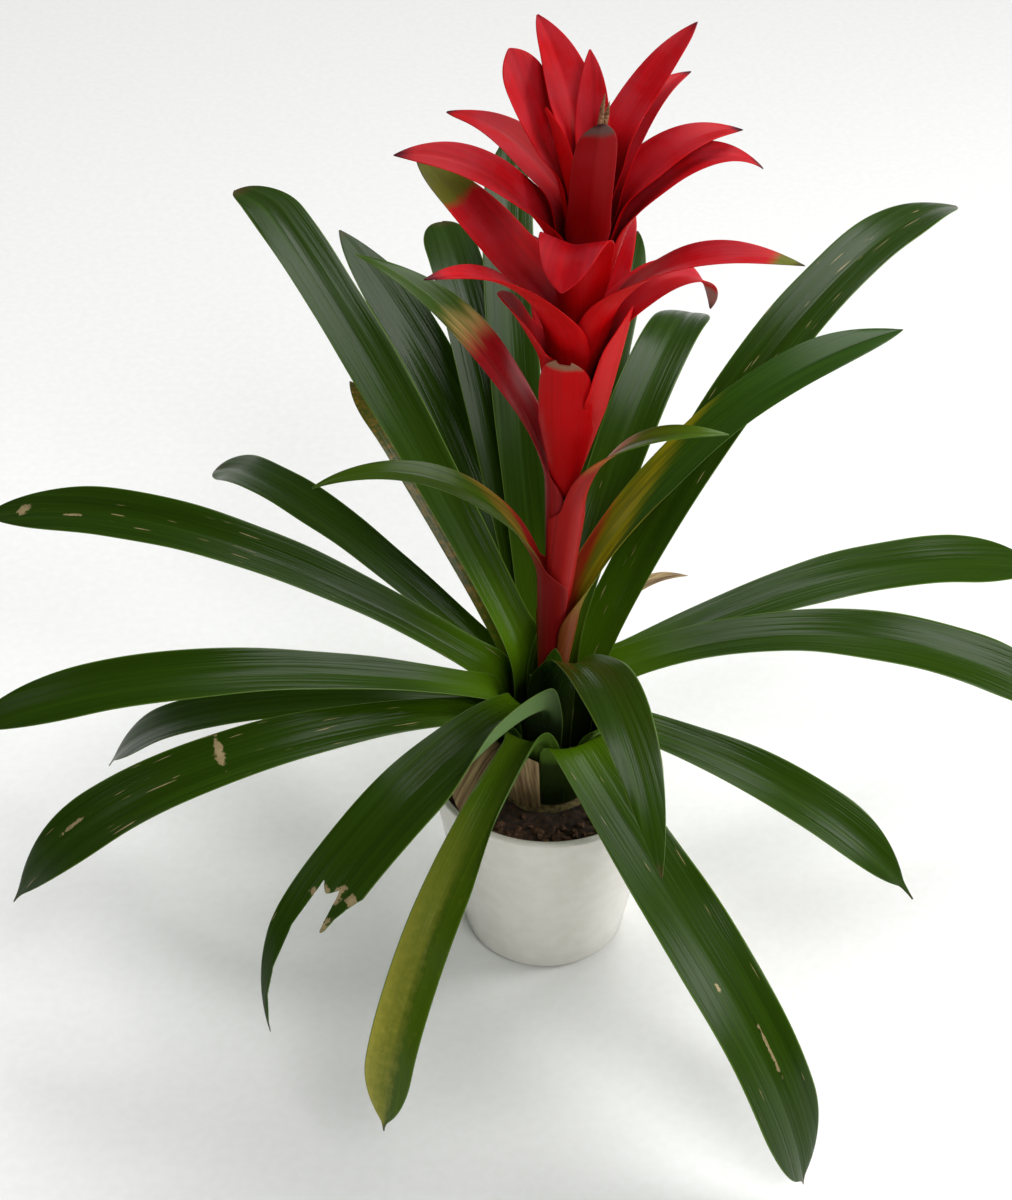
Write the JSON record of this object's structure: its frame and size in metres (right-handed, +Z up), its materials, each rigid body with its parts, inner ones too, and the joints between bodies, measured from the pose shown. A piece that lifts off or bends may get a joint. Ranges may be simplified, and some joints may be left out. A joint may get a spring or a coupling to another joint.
{
  "type": "potted scarlet star",
  "caption": "Flowering bromeliad with a rosette of long glossy strap leaves and a tall spike of scarlet bracts, growing in a plain tapered glazed pot.",
  "frame": {"origin": "middle of the pot's underside", "axes": "+Z up along the pot's axis, -Y towards the front of the plant as pictured, +X to its right"},
  "size_m": [0.6592, 0.5935, 0.5425],
  "materials": {
    "pot_glaze": "smooth satin glaze",
    "soil": "loose bark and peat, matt",
    "stem": "rough, dry",
    "leaf": "glossy, finely ribbed along the blade",
    "stalk_leaf": "glossy, reddening to the base",
    "bract": "satin",
    "dry_leaf": "dry and papery",
    "spent_flower": "dry and papery"
  },
  "bodies": {
    "root": {"pot": "pot_glaze", "soil": "soil", "stem": "stem", "leaf_left_under": "leaf", "leaf_front_long": "leaf", "leaf_right_back": "leaf", "leaf_left_short": "leaf", "leaf_front_yellow": "leaf", "leaf_right_front": "leaf", "leaf_left_front": "leaf", "leaf_back_left_short": "leaf", "leaf_right_low": "leaf", "leaf_left_long": "leaf", "leaf_back_right": "leaf", "leaf_left_level": "leaf", "leaf_back_left_low": "leaf", "leaf_back_blunt": "leaf", "leaf_back_tall": "leaf", "leaf_back_left": "leaf", "leaf_back_middle": "leaf", "leaf_back_right_inner": "leaf", "leaf_front_arched": "leaf", "leaf_heart": "leaf", "leaf_front_left_torn": "leaf", "withered_leaf": "dry_leaf", "dry_sheath": "dry_leaf", "stalk_leaf_right_long": "stalk_leaf", "stalk_leaf_left": "stalk_leaf", "stalk_leaf_right": "stalk_leaf", "stalk_leaf_upper_left": "stalk_leaf", "bract_01": "bract", "bract_02": "bract", "bract_03": "bract", "bract_04": "bract", "bract_05": "bract", "bract_06": "bract", "bract_07": "bract", "bract_08": "bract", "bract_09": "bract", "bract_10": "bract", "bract_11": "bract", "bract_12": "bract", "bract_13": "bract", "bract_14": "bract", "bract_15": "bract", "bract_16": "bract", "bract_17": "bract", "bract_18": "bract", "bract_19": "bract", "bract_20": "bract", "bract_21": "bract", "bract_22": "bract", "spent_flowers": "spent_flower"}
  },
  "joints": []
}
